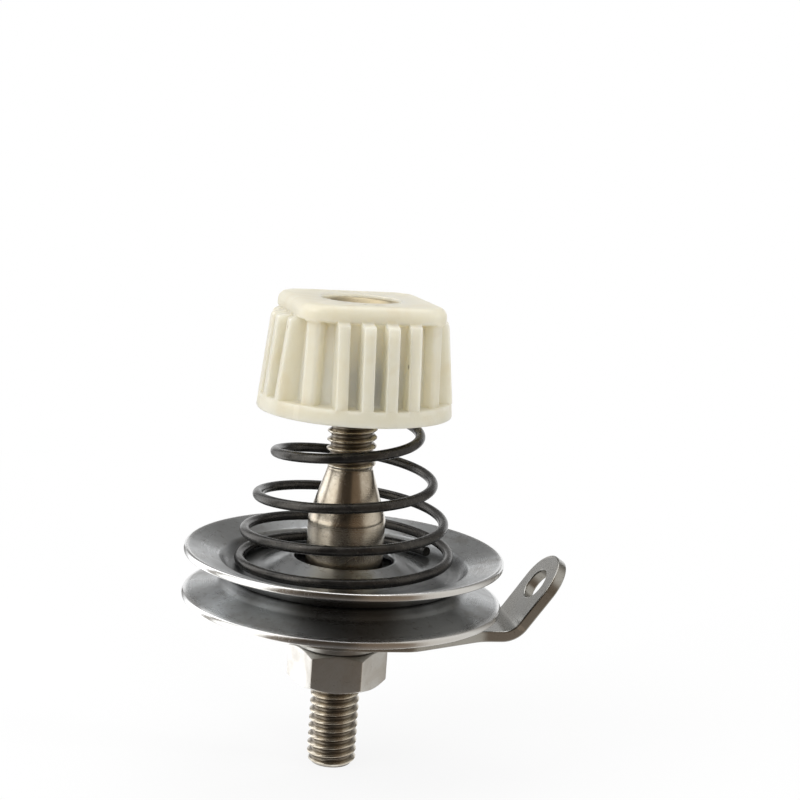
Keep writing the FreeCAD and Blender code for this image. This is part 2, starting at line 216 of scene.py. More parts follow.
def wire_coiler():
    """Winds a round wire into a conical spring with a flat turn at each end."""
    tree, given = new_tree("Wire coiler", "GeometryNodeTree", {
        SHAPE: ["Replaced mesh"], COUNT: ["Steps", "Sides"], FINISH: ["Finish"],
        FLOAT: ["Wire radius", "Foot radius", "Head radius", "Foot height", "Head height",
                "Active turns", "Foot turns", "Head turns", "Crowding", "Swell power",
                "Head angle"],
    }, {SHAPE: ["Spring"]})
    line = wire(tree, "GeometryNodeCurvePrimitiveLine")
    points = wire(tree, "GeometryNodeResampleCurve", {"Curve": line, "Count": given["Steps"]})
    along = wire(tree, "GeometryNodeSplineParameter")
    below_head = calc(tree, "ADD", given["Active turns"], given["Foot turns"])
    turns = calc(tree, "ADD", below_head, given["Head turns"])
    turn = calc(tree, "SUBTRACT", product(tree, turns, along), given["Head turns"])
    share = calc(tree, "DIVIDE", turn, given["Active turns"], clamp=True)
    bulge = calc(tree, "SUBTRACT", share, product(tree, share, share))
    drop = calc(tree, "MULTIPLY_ADD", bulge, given["Crowding"], share)
    rise = calc(tree, "SUBTRACT", given["Foot height"], given["Head height"])
    height = calc(tree, "MULTIPLY_ADD", rise, drop, given["Head height"])
    curve = calc(tree, "SINE", product(tree, share, TURN / 4))
    swell = calc(tree, "POWER", curve, given["Swell power"])
    widening = calc(tree, "SUBTRACT", given["Foot radius"], given["Head radius"])
    radius = calc(tree, "MULTIPLY_ADD", widening, swell, given["Head radius"])
    angle = calc(tree, "SUBTRACT", given["Head angle"], product(tree, turn, TURN))
    place = wire(tree, "ShaderNodeCombineXYZ", [
        product(tree, radius, calc(tree, "COSINE", angle)),
        product(tree, radius, calc(tree, "SINE", angle)), height])
    path = wire(tree, "GeometryNodeSetPosition", {"Geometry": points, "Position": place})
    section = wire(tree, "GeometryNodeCurvePrimitiveCircle", {
        "Resolution": given["Sides"], "Radius": given["Wire radius"]})
    tube = wire(tree, "GeometryNodeCurveToMesh", {
        "Curve": path, "Profile Curve": section, "Fill Caps": True})
    smooth = wire(tree, "GeometryNodeSetShadeSmooth", {"Geometry": tube})
    close_tree(tree, dressed(tree, smooth, given))


def run_tree(obj, name, **sizes):
    """Runs a geometry tree on obj with its named inputs, and keeps the mesh that it makes."""
    modifier, tree = obj.modifiers.new(name, "NODES"), bpy.data.node_groups[name]
    modifier.node_group = tree
    idents = {item.name: item.identifier for item in tree.interface.items_tree
              if item.in_out == "INPUT"}
    for label, size in sizes.items():
        modifier[idents[label.replace("_", " ")]] = size
    freeze(obj)


def freeze(obj):
    """Replaces obj's mesh by what its modifiers make, and takes them off."""
    seen = obj.evaluated_get(bpy.context.evaluated_depsgraph_get())
    made = bpy.data.meshes.new_from_object(seen)
    obj.modifiers.clear()
    obj.data = made
    obj.data.name = obj.name


def even_shading(obj, weight):
    """Lets the wide faces set the shading, so that flats look flat beside their rounded edges."""
    weighted = obj.modifiers.new("Even shading", "WEIGHTED_NORMAL")
    weighted.keep_sharp, weighted.weight = False, weight
    freeze(obj)


# ---- mesh makers

def polar(radius, angle, *height):
    return (radius * math.cos(angle), radius * math.sin(angle), *height)


def part_way(start, end, share):
    return tuple(a + (b - a) * share for a, b in zip(start, end))


def swung(x, y, angle):
    """The point turned about the stud's axis."""
    return x * math.cos(angle) - y * math.sin(angle), x * math.sin(angle) + y * math.cos(angle)


def divided(outline, pieces_of):
    """A closed outline, each side cut into as many equal pieces as pieces_of(its length) says."""
    fine = []
    for start, end in zip(outline, outline[1:] + outline[:1]):
        pieces = pieces_of(math.dist(start, end))
        fine += [part_way(start, end, k / pieces) for k in range(pieces)]
    return fine


def placed(name, data):
    """A mesh, a lamp or a camera as an object in the scene."""
    obj = bpy.data.objects.new(name, data)
    bpy.context.scene.collection.objects.link(obj)
    return obj


def finished(name, points, faces, finish=None):
    """A piece from points in millimetres, merged, facing outwards and shaded smooth."""
    data = bpy.data.meshes.new(name)
    data.from_pydata([[MM * c for c in point] for point in points], [], faces)
    sheet = bmesh.new()
    sheet.from_mesh(data)
    bmesh.ops.remove_doubles(sheet, verts=sheet.verts, dist=1e-7)
    bmesh.ops.recalc_face_normals(sheet, faces=sheet.faces)
    sheet.to_mesh(data)
    sheet.free()
    data.shade_smooth()
    if finish:
        data.materials.append(finish)
    return placed(name, data)


def skin_rings(name, rings, finish, loop=True, capped=False):
    """Joins rings of equal count with quads. With loop, the last ring joins the first."""
    count = len(rings[0])
    points = [point for ring in rings for point in ring]
    faces = []
    for row in range(len(rings) if loop else len(rings) - 1):
        low, high = row * count, (row + 1) % len(rings) * count
        for n in range(count):
            m = (n + 1) % count
            faces.append((low + n, low + m, high + m, high + n))
    if capped:
        faces += [range(count), range(len(points) - count, len(points))]
    return finished(name, points, faces, finish)


def turned(name, profile, finish, columns, loop=True):
    """Turns a profile of (radius, height) about the stud's axis. A radius of 0 makes a pole."""
    angles = [TURN * n / columns for n in range(columns)]
    rings = [[polar(r, a, z) for a in angles] for r, z in profile]
    return skin_rings(name, rings, finish, loop)


def eased(corners, radii, steps=4, closed=True):
    """A flat outline with its corners rounded: each corner becomes an arc of steps + 1 points."""
    out = []
    count = len(corners)
    for n, corner in enumerate(corners):
        here = Vector(corner)
        radius = radii[n] if isinstance(radii, (list, tuple)) else radii
        ends = not closed and n in (0, count - 1)
        back = Vector(corners[n - 1]) - here
        ahead = Vector(corners[(n + 1) % count]) - here
        back_way, ahead_way = back.normalized(), ahead.normalized()
        half = back_way.angle(ahead_way, math.pi) / 2
        straight = half > math.pi / 2 - 1e-3
        if ends or straight or radius <= 0 or min(back.length, ahead.length) < 1e-6:
            out.append(tuple(here))
            continue
        cut = min(radius / math.tan(half), 0.49 * back.length, 0.49 * ahead.length)
        radius = cut * math.tan(half)
        centre = here + (back_way + ahead_way).normalized() * (radius / math.sin(half))
        first, last = here + back_way * cut - centre, here + ahead_way * cut - centre
        sweep = first.angle_signed(last)
        for k in range(steps + 1):
            x, y = swung(first.x, first.y, -sweep * k / steps)
            out.append((centre.x + x, centre.y + y))
    return out


def rows(radius, low, high, spacing):
    """Points up a straight wall, close enough together to carry a thread."""
    count = max(2, round(abs(high - low) / spacing))
    return [(radius, low + (high - low) * n / count) for n in range(count + 1)]


def cut_thread(piece, thread, low, high, finish):
    """Cuts the M4 thread into the stud or a bore, between two heights."""
    run_out = 0.1
    sizes = zip(THREAD_SIZES, (PITCH, *thread, low, high, run_out))
    run_tree(piece, "Thread cutter", Finish=finish, **{name: size * MM for name, size in sizes})


# ---- pieces

def make_stud(finish):
    """One turned piece, with the mounting thread below and the thumb nut's thread above."""
    row = PITCH / 16
    chamfer, facet, runs_out = 0.35, 0.09, 18.0
    profile = [(0, STUD_FOOT), (0.8, STUD_FOOT), (CREST - chamfer, STUD_FOOT)]
    profile += [(CREST - chamfer + facet * n, STUD_FOOT + facet * n) for n in (1, 2, 3)]
    profile += rows(CREST, STUD_FOOT + chamfer, PLATE_TOP - 0.1, row)
    profile += eased([
        (CREST, PLATE_TOP), (4.9, PLATE_TOP), (4.9, COLLAR_TOP), (3.1, COLLAR_TOP),
        (3.1, TAPER_START), (1.8, TAPER_END), (1.8, runs_out - 0.18), (CREST, runs_out),
    ], [0, 0.12, 0.12, 0.1, 1.6, 0.15, 0.05, 0], steps=5, closed=False)
    profile += rows(CREST, runs_out + 0.02, STUD_TOP - chamfer, row)
    profile += [(CREST - facet * n, STUD_TOP - chamfer + facet * n) for n in (1, 2, 3)]
    profile += [(CREST - chamfer, STUD_TOP), (0.8, STUD_TOP), (0, STUD_TOP)]
    stud = turned("turned_stud", profile, finish, columns=72, loop=False)
    for low, high in ((STUD_FOOT - 0.1, PLATE_TOP - 0.3), (runs_out - 0.1, STUD_TOP + 0.1)):
        cut_thread(stud, STUD_THREAD, low, high, finish)
    return stud


def make_nut(finish):
    """A hexagon nut, chamfered on both faces, with its thread cut into the bore."""
    face, half_across, corner, slope = 3.3, 3.5, 0.16, math.tan(math.radians(30))
    hexagon = [polar(half_across / math.cos(TURN / 12), TURN * n / 6) for n in range(6)]
    outline = divided(eased(hexagon, corner, steps=6), lambda length: 10 if length > 1 else 1)
    angles = [math.atan2(y, x) + NUT_BEARING for x, y in outline]
    spans = [math.hypot(x, y) for x, y in outline]

    def circle(radius, height):
        return [polar(radius, a, height) for a in angles]

    def side(drop, inset=0.0):
        """The hexagon's outline where the chamfer meets it, or that far below."""
        return [
            polar(s - inset, a, max(s - face, 0) * slope + drop) for a, s in zip(angles, spans)]

    def flip(ring):
        return [(x, y, NUT_TOP - z) for x, y, z in ring]

    lower = [
        circle(2.3, 0), circle(face - 0.25, 0), circle(face - 0.03, 0.01),
        side(-0.035, 0.05), side(-0.01, 0.015), side(0.04), side(0.12),
    ]
    thread = rows(BORE_CREST, 0.4, NUT_TOP - 0.4, PITCH / 12)
    bore = [(2.0, NUT_TOP - 0.1), *reversed(thread), (2.0, 0.1)]
    rings = lower + [flip(ring) for ring in reversed(lower)] + [circle(r, z) for r, z in bore]
    nut = skin_rings("hexagon_nut", rings, finish)
    cut_thread(nut, BORE_THREAD, -0.1, NUT_TOP + 0.1, finish)
    return nut


def make_washer(finish):
    """A spring washer pressed flat: one open turn of square wire, cut at a slant."""
    inner, outer, thick, foot = 2.12, 3.48, 0.98, NUT_TOP + 0.01
    section = eased([(inner, 0), (outer, 0), (outer, thick), (inner, thick)], 0.1, steps=3)
    gap, slant, steps = math.radians(12), math.radians(7), 72
    rings = []
    for n in range(steps + 1):
        base = math.pi + gap / 2 + (TURN - gap) * n / steps
        rings.append([polar(r, base + slant * (z / thick - 0.5), foot + z) for r, z in section])
    return skin_rings("split_washer", rings, finish, loop=False, capped=True)


def guide_outline():
    """The guide plate's outline before its tab is bent: along the arm, and across it."""
    tab, ring, arm, eye, ease = BEND_AT + BEND_LENGTH, 5.5, 2.7, 2.81, 3
    far_side = [(0, ring), (5.1, ring), (11.2, arm), (tab, arm + 0.02), (tab + 6.04, eye)]
    near_side = [(x, -y) for x, y in far_side]
    radii = [0, ease, ease, ease, eye - 0.05]
    sides = eased(near_side + far_side[::-1], radii + radii[::-1], steps=14, closed=False)
    return sides + [polar(ring, math.pi / 2 + math.pi * n / 48) for n in range(1, 48)]


def make_guide(finish):
    """The guide plate, cut flat and then bent, so its tab keeps an even thickness."""
    thick, eyelet_at = PLATE_TOP - PLATE_FOOT, BEND_AT + BEND_LENGTH + 3.22
    sheet = bmesh.new()

    def add_loop(outline):
        verts = [sheet.verts.new((x, y, 0)) for x, y in outline]
        return [sheet.edges.new((a, b)) for a, b in zip(verts, verts[1:] + verts[:1])]

    edges = add_loop(guide_outline())
    for middle, radius, count in ((0, 2.1, 48), (eyelet_at, 1.33, 40)):
        hole = [polar(radius, TURN * n / count) for n in range(count)]
        edges += add_loop([(middle + x, y) for x, y in hole])
    bmesh.ops.triangle_fill(sheet, edges=edges, use_beauty=True)
    bmesh.ops.dissolve_limit(sheet, angle_limit=0.001, verts=sheet.verts, edges=sheet.edges)
    folds = 12
    for n in range(folds + 1):
        bmesh.ops.bisect_plane(
            sheet, geom=sheet.verts[:] + sheet.edges[:] + sheet.faces[:],
            plane_co=(BEND_AT + BEND_LENGTH * n / folds, 0, 0), plane_no=(1, 0, 0), dist=1e-6)
    raised = bmesh.ops.extrude_face_region(sheet, geom=sheet.faces[:])
    for item in raised["geom"]:
        if isinstance(item, bmesh.types.BMVert):
            item.co.z += thick
    bmesh.ops.recalc_face_normals(sheet, faces=sheet.faces)
    data = bpy.data.meshes.new("guide_plate")
    sheet.to_mesh(data)
    sheet.free()
    data.shade_smooth()
    obj = placed("guide_plate", data)
    bevel = obj.modifiers.new("Rolled edges", "BEVEL")
    bevel.width, bevel.segments, bevel.limit_method = 0.3, 6, "ANGLE"
    bevel.angle_limit = math.radians(50)
    even_shading(obj, 100)

    def bend_at(x):
        return min(max((x - BEND_AT) / INNER_BEND, 0), TAB_TILT)

    # the shading is bent with the plate, so its flats stay flat
    data = obj.data
    shading = []
    for loop, normal in zip(data.loops, data.corner_normals):
        turn_back = Matrix.Rotation(-bend_at(data.vertices[loop.vertex_index].co.x), 3, "Y")
        shading.append(turn_back @ normal.vector)
    for vert in data.vertices:
        x, y, z = vert.co
        past, angle = x - BEND_AT, bend_at(x)
        radius = INNER_BEND + thick - z
        straight = max(past - BEND_LENGTH, 0)
        if past > 0:
            x = BEND_AT + radius * math.sin(angle) + straight * math.cos(TAB_TILT)
            z = thick + INNER_BEND - radius * math.cos(angle) + straight * math.sin(TAB_TILT)
        vert.co = (x * MM, y * MM, (z + PLATE_FOOT) * MM)
    data.normals_split_custom_set(shading)
    data.materials.append(finish)
    return obj


def make_disc(name, side, finish):
    """A pressed saucer: boss, flat, step and dished rim. The lower disc's side is -1."""
    gauge, spacing = 0.6, 0.35
    face = [(4.0, 1.02), (6.6, 0), (9.4, 0), (10.0, 0.7), (12.8, 1.58)]
    back = [(r, rise + gauge) for r, rise in reversed(face)]
    outline = eased(face + back, [0.2, 1.4, 0.5, 0.9, 0.26, 0.26, 0.5, 0.9, 1.0, 0.2], steps=8)
    fine = divided(outline, lambda length: max(1, round(length / spacing)))
    return turned(name, [(r, CONTACT + side * z) for r, z in fine], finish, columns=180)


def make_spring(finish):
    """The conical spring, wound from its head in the thumb nut down to its foot on a disc."""
    blank = finished("conical_spring", [(0, 0, CONTACT)], [])
    run_tree(
        blank, "Wire coiler", Wire_radius=0.4 * MM, Foot_radius=8.4 * MM,
        Head_radius=4.37 * MM, Foot_height=9.95 * MM, Head_height=25.05 * MM,
        Active_turns=4.5, Foot_turns=0.4, Head_turns=0.78, Crowding=0.405, Swell_power=1.3,
        Head_angle=SPRING_BEARING, Steps=640, Sides=24, Finish=finish,
    )
    return blank


class KnobPlan:
    """The thumb nut's outlines by height: ribs round a soft core, squared cap, round flange."""
    half_side, draft = 5.8, math.tan(math.radians(1.9))
    core_corner, cap_corner, overhang = 4.2, 2.2, 0.3
    rib_half, rib_places, rib_sink = 0.47, (-2.805, -0.935, 0.935, 2.805), 0.03
    past_ribs, corner_rib_reach = 3.3, 7.32
    foot_radius, taper = 7.744, 0.94 / KNOB_HEIGHT
    rib_top, flange = 7.55, 1.24
    crest_ease, root_ease, floor_gap, pillar_gap = 0.13, 0.17, 0.3, 0.06
    pillar_half, pillar_crest_ease, pillar_root_ease = 0.62, 0.34, 0.6

    def __init__(self):
        """Settles the bearing of each column, so that the round rings line up with the ribs."""
        outline, crests = self.quarter(self.flange)
        count = len(outline)
        bearings = [math.atan2(y, x) for x, y in outline]
        kept = sorted(crests)
        kept += [kept[0] + count]
        self.bearings = list(bearings)
        for first, last in zip(kept, kept[1:]):
            low = bearings[first]
            high = bearings[last % count] + (TURN / 4 if last >= count else 0)
            for n in range(first + 1, last):
                angle = low + (high - low) * (n - first) / (last - first)
                self.bearings[n % count] = angle - (TURN / 4 if n >= count else 0)
        for n in range(1, count):
            self.bearings[n] = max(self.bearings[n], self.bearings[n - 1] + 1e-4)
        cap_face = self.side(self.rib_top) + self.overhang
        self.cap_bearings = [
            math.atan2(y, cap_face if abs(y) < self.past_ribs and x > y else x)
            for x, y in self.quarter(self.rib_top)[0]
        ]

    def side(self, z):
        return self.half_side - z * self.draft

    def quarter(self, z):
        """One side's outline, (outwards, across), between corner ribs, and its crest points."""
        flat, bend = self.side(z) - self.core_corner, self.core_corner
        envelope = self.envelope(z)

        def floor_at(across):
            over = max(abs(across) - flat, 0)
            return flat + math.sqrt(bend ** 2 - over ** 2)

        points, radii, raised = [], [], []

        def add(out, across, radius=0.0, is_crest=False):
            points.append((out, across))
            radii.append(radius)
            raised.append(is_crest)

        diagonal = math.sqrt(2)
        root = flat + math.sqrt(bend ** 2 - self.pillar_half ** 2) / diagonal
        reach = (self.corner_rib_reach - z * self.draft) / diagonal
        slip = self.pillar_half / diagonal
        last_rib = self.rib_places[-1] + self.rib_half
        arc_start = math.asin((last_rib + self.floor_gap - flat) / bend)
        arc_end = TURN / 8 - self.pillar_half / bend - self.pillar_gap
        floor_arc = []
        for n in range(4):
            x, y = polar(bend, arc_start + (arc_end - arc_start) * n / 3)
            floor_arc.append((flat + x, flat + y))
        add(root + slip, -root + slip, self.pillar_root_ease)
        for x, y in reversed(floor_arc):
            add(x, -y)
        for place in self.rib_places:
            crest = math.sqrt(envelope ** 2 - place ** 2) - self.rib_sink
            low, high = place - self.rib_half, place + self.rib_half
            add(floor_at(low), low, self.root_ease)
            add(crest, low, self.crest_ease, True)
            add(crest, high, self.crest_ease, True)
            add(floor_at(high), high, self.root_ease)
        for x, y in floor_arc:
            add(x, y)
        add(root + slip, root - slip, self.pillar_root_ease)
        add(reach + slip, reach - slip, self.pillar_crest_ease, True)
        add(reach - slip, reach + slip, self.pillar_crest_ease, True)
        # a point of each neighbour, so that the first and last edges are rounded like the others
        add(root - slip, root + slip)
        before = (reach + slip, slip - reach)
        rounded = eased([before] + points, [0] + radii, steps=4, closed=False)
        marks = [mark for radius, mark in zip(radii, raised) for _ in range(5 if radius else 1)]
        return rounded[1:-1], {n for n, mark in enumerate(marks) if mark}

    def cap_point(self, bearing, z, inset):
        """The squared cap's outline on a bearing, with its edge rounded in by inset."""
        half = self.side(z) + self.overhang - inset
        corner = max(self.cap_corner - inset, 0.5)
        fold = (bearing + TURN / 8) % (TURN / 4) - TURN / 8
        reach = half / math.cos(fold)
        if abs(half * math.tan(fold)) > half - corner:
            middle = half - corner
            along = middle * (math.cos(fold) + abs(math.sin(fold)))
            reach = along + math.sqrt(along ** 2 - 2 * middle ** 2 + corner ** 2)
        return polar(reach, bearing)

    def envelope(self, z):
        return self.foot_radius - self.taper * z

    def all_round(self, part, z):
        """One side's points repeated on all four sides, at the knob's own height z."""
        return [
            (*swung(x, y, KNOB_BEARING + TURN / 4 * k), KNOB_FOOT + z)
            for k in range(4) for x, y in part
        ]

    def grip(self, z, rim=0.0):
        """The ribbed outline, moved this share of the way to the round rim."""
        return self.all_round([
            part_way(point, polar(self.envelope(z), bearing), rim)
            for point, bearing in zip(self.quarter(z)[0], self.bearings)
        ], z)

    def cap(self, z, inset=0.0, ribs=0.0):
        """The cap's outline, moved this share of the way out to the ribs below it."""
        return self.all_round([
            part_way(self.cap_point(bearing, z, inset), point, ribs)
            for point, bearing in zip(self.quarter(min(z, self.rib_top))[0], self.cap_bearings)
        ], z)

    def circle(self, radius, z):
        return self.all_round([polar(radius, bearing) for bearing in self.bearings], z)


def knob_rings():
    """The thumb nut's skin as one loop of rings: top, cap, ribs, flange, cavity, boss and bore."""
    plan = KnobPlan()
    top, rib_top, flange = KNOB_HEIGHT, plan.rib_top, plan.flange
    edge, lip, bore, foot, sole = 0.7, 0.16, 3.14, plan.foot_radius - 0.02, 0.14

    def bend(steps, first=0):
        """The cosines and sines of a quarter turn."""
        return [polar(1, TURN / 4 * n / steps) for n in range(first, steps + 1)]

    rings = [plan.circle(bore + lip * (1 - c), top - lip + lip * s) for c, s in bend(4)]
    rings += [plan.circle(r, top) for r in (3.5, 3.85, 4.2)]
    rings += [plan.cap(top, inset=edge + more) for more in (0.5, 0.2)]
    rings += [plan.cap(top - edge + edge * c, inset=edge * (1 - s)) for c, s in bend(8)]
    rings += [plan.cap(z) for z in (8.0, rib_top + 0.3)]
    rings += [plan.cap(rib_top + z, ribs=share) for z, share in (
        (0.22, 0.02), (0.15, 0.08), (0.1, 0.2), (0.0, 0.68), (-0.05, 0.85), (-0.12, 0.95),
        (-0.26, 1.0))]
    rings += [plan.grip(z) for z in (6.6, 5.4, 4.2, 3.0, 2.0, flange + 0.17)]
    rings += [plan.grip(flange + z, rim) for z, rim in (
        (0.08, 0.03), (0.02, 0.12), (0, 0.3), (-0.01, 0.85), (-0.05, 0.95), (-0.12, 1.0))]
    rings += [plan.circle(plan.envelope(z), z) for z in (0.8, 0.45, 0.16)]
    rings += [plan.circle(foot - sole * (1 - c), sole * (1 - s)) for c, s in bend(3, first=1)]
    cavity = [(6.6, 0), (6.42, 0.03), (6.33, 0.12), (5.34, 1.42), (5.28, 1.55), (5.2, 3.95)]
    cavity += [(5.13, 4.13), (4.95, 4.2), (3.95, 4.2), (3.74, 4.12), (3.69, 3.95)]
    boss = [(3.69, 0.72), (3.64, 0.59), (3.5, 0.55), (3.2, 0.55), (bore, 0.62), (bore, 8.2)]
    return rings + [plan.circle(r, z) for r, z in cavity + boss]


def make_knob(finish):
    """The moulded shell. Each point of its ribbed band knows how deep it lies between the ribs."""
    knob = skin_rings("ribbed_knob", knob_rings(), finish)
    even_shading(knob, 80)
    plan, boss_clear, crest_depth, floor_depth = KnobPlan(), 5.3, 0.55, 1.65
    # this depth is what the ivory finish uses to paint the recesses paler: painted light
    depth = knob.data.attributes.new("Depth between ribs", "FLOAT", "POINT")
    for point, mark in zip(knob.data.vertices, depth.data):
        x, y, z = point.co / MM
        out, z = math.hypot(x, y), z - KNOB_FOOT
        if plan.flange < z < plan.rib_top and out > boss_clear:
            share = (plan.envelope(z) - out - crest_depth) / (floor_depth - crest_depth)
            mark.value = min(max(share, 0), 1)
    return knob


def make_insert(finish):
    """The threaded bush inside the thumb nut, with a chamfer at both mouths."""
    outer, bevel, rim = 3.135, 0.1, 0.08
    lower_mouth, upper_mouth = (2.25, INSERT_FOOT), (2.44, INSERT_TOP - 0.05)
    bore_foot, bore_head = (BORE_CREST, INSERT_FOOT + 0.5), (BORE_CREST, INSERT_TOP - 0.75)
    profile = [
        lower_mouth, (outer - bevel, INSERT_FOOT), (outer, INSERT_FOOT + bevel),
        (outer, INSERT_TOP - rim), (outer - rim, INSERT_TOP), (2.52, INSERT_TOP), upper_mouth,
    ]
    profile += [part_way(upper_mouth, bore_head, n / 12) for n in range(1, 12)]
    profile += rows(BORE_CREST, bore_foot[1], bore_head[1], PITCH / 12)[::-1]
    profile += [part_way(bore_foot, lower_mouth, n / 8) for n in range(1, 8)]
    bush = turned("threaded_bush", profile, finish, columns=72)
    cut_thread(bush, BORE_THREAD, INSERT_FOOT - 0.1, INSERT_TOP + 0.1, finish)
    return bush


# ---- effects shared by the finishes

def turning_marks():
    """Fine rings about the stud's axis, as a lathe or a polishing wheel leaves them."""
    tree, given = new_tree(
        "Turning marks", "ShaderNodeTree", {FLOAT: ["Rings per metre", "Waver"]},
        {FLOAT: ["Mark"]})
    radius, height = radius_and_height(tree)
    drift = noise(tree, own_place(tree), 260.0, 1.0)
    lane = wire(tree, "ShaderNodeCombineXYZ", [
        product(tree, radius, given["Rings per metre"]),
        product(tree, height, given["Rings per metre"]),
        product(tree, drift, given["Waver"]),
    ])
    mark = noise(tree, lane, 1.0, 2.5, Roughness=0.6)
    close_tree(tree, mark)


def cloudy_film():
    """A patchy film of oil and handling that dulls plating unevenly."""
    tree, given = new_tree(
        "Cloudy film", "ShaderNodeTree", {FLOAT: ["Scale", "Sharpness"]},
        {FLOAT: ["Film", "Speck"]})
    place = own_place(tree)
    warp = noise(tree, place, given["Scale"], 6.0, Roughness=0.62, Distortion=0.7)
    half = product(tree, calc(tree, "SUBTRACT", 1.0, given["Sharpness"]), 0.3)
    low, high = calc(tree, "SUBTRACT", 0.5, half), calc(tree, "ADD", 0.5, half)
    film = spread(tree, warp, low, high, smooth=True)
    fine = noise(tree, place, product(tree, given["Scale"], 14.0), 2.0)
    speck = spread(tree, fine, 0.62, 0.74)
    close_tree(tree, film, speck)


def edge_wear():
    """Where handling has rubbed the raised edges, broken up by noise."""
    softness, break_up = 0.05, 1200.0
    tree, given = new_tree(
        "Edge wear", "ShaderNodeTree", {FLOAT: ["Threshold"]}, {FLOAT: ["Wear"]})
    raised = wire(tree, "ShaderNodeNewGeometry", output="Pointiness")
    uneven = noise(tree, own_place(tree), break_up, 3.0)
    level = wavered(tree, raised, uneven, 0.06)
    full = calc(tree, "ADD", given["Threshold"], softness)
    wear = spread(tree, level, given["Threshold"], full, smooth=True)
    close_tree(tree, wear)


def fine_scratches():
    """Short hairlines at two slants."""
    tree, given = new_tree(
        "Fine scratches", "ShaderNodeTree", {FLOAT: ["Scale", "Amount"]}, {FLOAT: ["Scratch"]})
    place = own_place(tree)
    lines = []
    for tilt, stretch in ((0.5, 16.0), (-0.9, 22.0)):
        turned_place = wire(tree, "ShaderNodeMapping", {
            "Vector": place, "Rotation": (tilt, tilt * 0.7, tilt * 1.9),
            "Scale": (1.0, stretch, 1.0)})
        streak = noise(tree, turned_place, given["Scale"], 0.0)
        away = calc(tree, "ABSOLUTE", calc(tree, "SUBTRACT", streak, 0.5))
        lines.append(spread(tree, away, 0.0, 0.012, 1.0, 0.0))
    close_tree(tree, product(tree, calc(tree, "MAXIMUM", *lines), given["Amount"]))


# ---- finishes

def new_finish(name, **plain):
    """A material with its own surface shader. plain gives what is the same all over."""
    finish = bpy.data.materials.new(name)
    finish.use_nodes = True
    tree = finish.node_tree
    shader = built_in(tree, "BSDF_PRINCIPLED")
    for label, number in plain.items():
        shader.inputs[label.replace("_", " ")].default_value = number
    return finish, tree, shader


def use_group(tree, name, output=0, **inputs):
    named = {label.replace("_", " "): number for label, number in inputs.items()}
    return wire(tree, "ShaderNodeGroup", named, output, node_tree=bpy.data.node_groups[name])


def blend_colour(tree, share, first, second):
    """Mixes two colours. The mix node tells its sockets for colours apart by number only."""
    factor_in, first_in, second_in, colour_out = 0, 6, 7, 2
    inputs = {factor_in: share}
    for slot, colour in ((first_in, first), (second_in, second)):
        is_plain = not isinstance(colour, bpy.types.NodeSocket)
        inputs[slot] = (*colour, 1.0) if is_plain else colour
    return wire(tree, "ShaderNodeMix", inputs, colour_out, data_type="RGBA")


def layered(tree, tint, *coats):
    """Lays colours over a tint, each where its mask is and at most so strongly."""
    for mask, amount, colour in coats:
        tint = blend_colour(tree, product(tree, mask, amount), tint, colour)
    return tint


def coat(tree, shader, tint, rough, height, depth):
    """Gives the shader its colour, its roughness, and a relief of so many metres."""
    bump = wire(tree, "ShaderNodeBump", {"Strength": 1.0, "Distance": depth, "Height": height})
    for label, source in (("Base Color", tint), ("Roughness", rough), ("Normal", bump)):
        tree.links.new(source, shader.inputs[label])


def plated(
        name, colour, film_colour, worn_colour, roughness, film_roughness, rings, ring_depth,
        film_scale=320.0, ring_roughness=0.08, scratch=0.25, darkening=None, wave=0.0):
    """Plated or polished metal: rings from turning, a cloudy film, hairlines and rubbed edges.

    A darkening function takes the tree and gives a mask of darker metal: painted shade deep in the
    bush's bore, and darker thread roots on the stud. wave is how far the surface wanders from
    true, in metres, which makes what it reflects wander too.
    """
    finish, tree, shader = new_finish(name, Metallic=1.0)
    film = use_group(tree, "Cloudy film", Scale=film_scale, Sharpness=0.25)
    speck = use_group(tree, "Cloudy film", "Speck", Scale=film_scale, Sharpness=0.25)
    mark = use_group(tree, "Turning marks", Rings_per_metre=rings, Waver=0.2)
    wear = use_group(tree, "Edge wear", Threshold=0.53)
    line = use_group(tree, "Fine scratches", Scale=700.0, Amount=scratch)
    speck_colour = [0.45 * c for c in film_colour]
    tint = layered(
        tree, colour,
        (film, 0.85, film_colour), (speck, 0.35, speck_colour), (wear, 0.7, worn_colour))
    rough = spread(tree, film, 0.0, 1.0, roughness, film_roughness)
    if darkening:
        # darker metal: painted shade in the bush's bore, darker thread roots on the stud
        darkened = darkening(tree)
        tint = blend_colour(tree, darkened, tint, (0.045, 0.034, 0.025))
        rough = calc(tree, "MULTIPLY_ADD", darkened, 0.2, rough)
    rough = wavered(tree, rough, mark, ring_roughness * 2)
    rough = calc(tree, "MULTIPLY_ADD", line, 0.25, rough, clamp=True)
    height = calc(tree, "MULTIPLY_ADD", line, -0.4, mark)
    if wave:
        swell = noise(tree, own_place(tree), 420.0, 1.5)
        height = calc(tree, "MULTIPLY_ADD", swell, wave / ring_depth, height)
    coat(tree, shader, tint, rough, height, ring_depth)
    return finish


def thread_root_darkening(tree):
    """Darker in the roots of both threads."""
    radius, height = radius_and_height(tree)
    above = spread(tree, height, 17.6 * MM, 18.2 * MM)
    below = spread(tree, height, 3.4 * MM, 2.6 * MM)
    in_root = spread(tree, radius, (ROOT + 0.3) * MM, (ROOT + 0.02) * MM, smooth=True)
    return product(tree, calc(tree, "MAXIMUM", above, below), in_root, 0.68)


def bore_painted_shade(tree):
    """Painted shade: the bush is dark inside, below its mouth."""
    radius, height = radius_and_height(tree)
    deep = spread(tree, height, (INSERT_TOP - 0.45) * MM, (INSERT_TOP - 0.75) * MM, smooth=True)
    return product(tree, deep, spread(tree, radius, 2.5 * MM, 2.3 * MM), 0.95)


